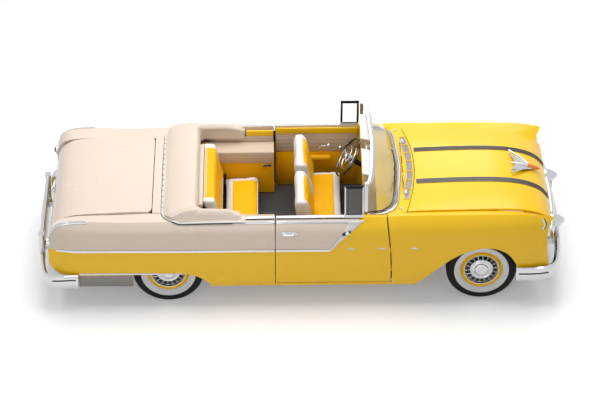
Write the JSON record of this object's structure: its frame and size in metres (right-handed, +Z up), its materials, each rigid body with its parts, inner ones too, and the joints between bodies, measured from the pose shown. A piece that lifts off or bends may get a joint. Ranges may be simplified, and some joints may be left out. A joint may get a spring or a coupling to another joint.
{
  "type": "convertible car",
  "caption": "Large two-tone 1950s convertible with folded roof, opening doors, hood and trunk, steering and rolling wheels.",
  "frame": {"origin": "on the ground under the centre of the car's box", "axes": "+X forward, +Y to the car's left, +Z up"},
  "size_m": [5.3389, 1.9778, 1.355],
  "materials": {
    "paint_yellow": "gloss enamel",
    "paint_cream": "gloss enamel",
    "chrome": "polished",
    "lamp_glass": "clear",
    "lamp_red": "ribbed lens",
    "frame_black": "satin",
    "engine_iron": "cast",
    "exhaust_steel": "dull",
    "upholstery": "grained",
    "dash_paint": "gloss enamel",
    "wheel_black": "moulded",
    "tyre": "rubber",
    "wheel_chrome": "polished"
  },
  "bodies": {
    "root": {"chassis_frame": "frame_black", "floor_pan": "frame_black", "rockers": "paint_yellow", "fender_left": "paint_yellow", "fender_right": "paint_yellow", "quarter_left": "paint_cream", "quarter_right": "paint_cream", "cowl": "paint_yellow", "deck_panel": "paint_cream", "tail_panel": "paint_cream", "nose_panel": "paint_yellow", "grille": "chrome", "stone_guards": "chrome", "head_lamps": "lamp_glass", "tail_lamps": "lamp_red", "windshield_frame": "chrome", "windshield_glass": "lamp_glass", "front_bumper": "chrome", "rear_bumper": "chrome", "engine_block": "engine_iron", "fuel_tank": "frame_black", "exhaust": "exhaust_steel", "front_suspension": "frame_black", "rear_axle": "frame_black", "front_seat": "upholstery", "front_seat_backs": "upholstery", "rear_seat": "upholstery", "quarter_trims": "upholstery", "boot_cover": "upholstery", "dashboard": "dash_paint", "steering_column": "frame_black"},
    "door_left": {"door_left": "paint_yellow", "vent_window_left": "chrome"},
    "door_right": {"door_right": "paint_yellow", "vent_window_right": "chrome"},
    "hood": {"hood": "paint_yellow", "hood_ornament": "chrome"},
    "trunk_lid": {"trunk_lid": "paint_cream"},
    "steering_wheel": {"steering_wheel": "wheel_black"},
    "knuckle_left": {"knuckle_left": "engine_iron"},
    "knuckle_right": {"knuckle_right": "engine_iron"},
    "wheel_front_left": {"tyre_front_left": "tyre", "wheel_front_left": "wheel_chrome"},
    "wheel_front_right": {"tyre_front_right": "tyre", "wheel_front_right": "wheel_chrome"},
    "wheel_rear_left": {"tyre_rear_left": "tyre", "wheel_rear_left": "wheel_chrome"},
    "wheel_rear_right": {"tyre_rear_right": "tyre", "wheel_rear_right": "wheel_chrome"}
  },
  "joints": [
    {"name": "door_left_hinge", "type": "hinge", "parent": "root", "child": "door_left", "pos_m": [0.88, 0.945, 0.6], "axis": [0, 0, -1], "range_deg": [0, 65]},
    {"name": "door_right_hinge", "type": "hinge", "parent": "root", "child": "door_right", "pos_m": [0.88, -0.945, 0.6], "axis": [0, 0, 1], "range_deg": [0, 65]},
    {"name": "hood_hinge", "type": "hinge", "parent": "root", "child": "hood", "pos_m": [1.03, 0, 1.1], "axis": [0, -1, 0], "range_deg": [0, 50]},
    {"name": "trunk_hinge", "type": "hinge", "parent": "root", "child": "trunk_lid", "pos_m": [-1.47, 0, 1.05], "axis": [0, 1, 0], "range_deg": [0, 60]},
    {"name": "steering_turn", "type": "hinge", "parent": "root", "child": "steering_wheel", "pos_m": [0.489, 0.36, 0.93], "axis": [-0.8329, 0, 0.5534], "range_deg": [-540, 540]},
    {"name": "steer_left", "type": "hinge", "parent": "root", "child": "knuckle_left", "pos_m": [1.805, 0.655, 0.355], "axis": [0, 0, 1], "range_deg": [-30, 30]},
    {"name": "steer_right", "type": "hinge", "parent": "root", "child": "knuckle_right", "pos_m": [1.805, -0.655, 0.355], "axis": [0, 0, 1], "range_deg": [-30, 30]},
    {"name": "roll_front_left", "type": "hinge", "parent": "knuckle_left", "child": "wheel_front_left", "pos_m": [1.805, 0.745, 0.355], "axis": [0, 1, 0], "continuous": true},
    {"name": "roll_front_right", "type": "hinge", "parent": "knuckle_right", "child": "wheel_front_right", "pos_m": [1.805, -0.745, 0.355], "axis": [0, 1, 0], "continuous": true},
    {"name": "roll_rear_left", "type": "hinge", "parent": "root", "child": "wheel_rear_left", "pos_m": [-1.345, 0.75, 0.355], "axis": [0, 1, 0], "continuous": true},
    {"name": "roll_rear_right", "type": "hinge", "parent": "root", "child": "wheel_rear_right", "pos_m": [-1.345, -0.75, 0.355], "axis": [0, 1, 0], "continuous": true}
  ],
  "couplings": [
    {"joint": "steer_left", "follows": "steering_turn", "ratio": 0.055556},
    {"joint": "steer_right", "follows": "steering_turn", "ratio": 0.055556}
  ]
}
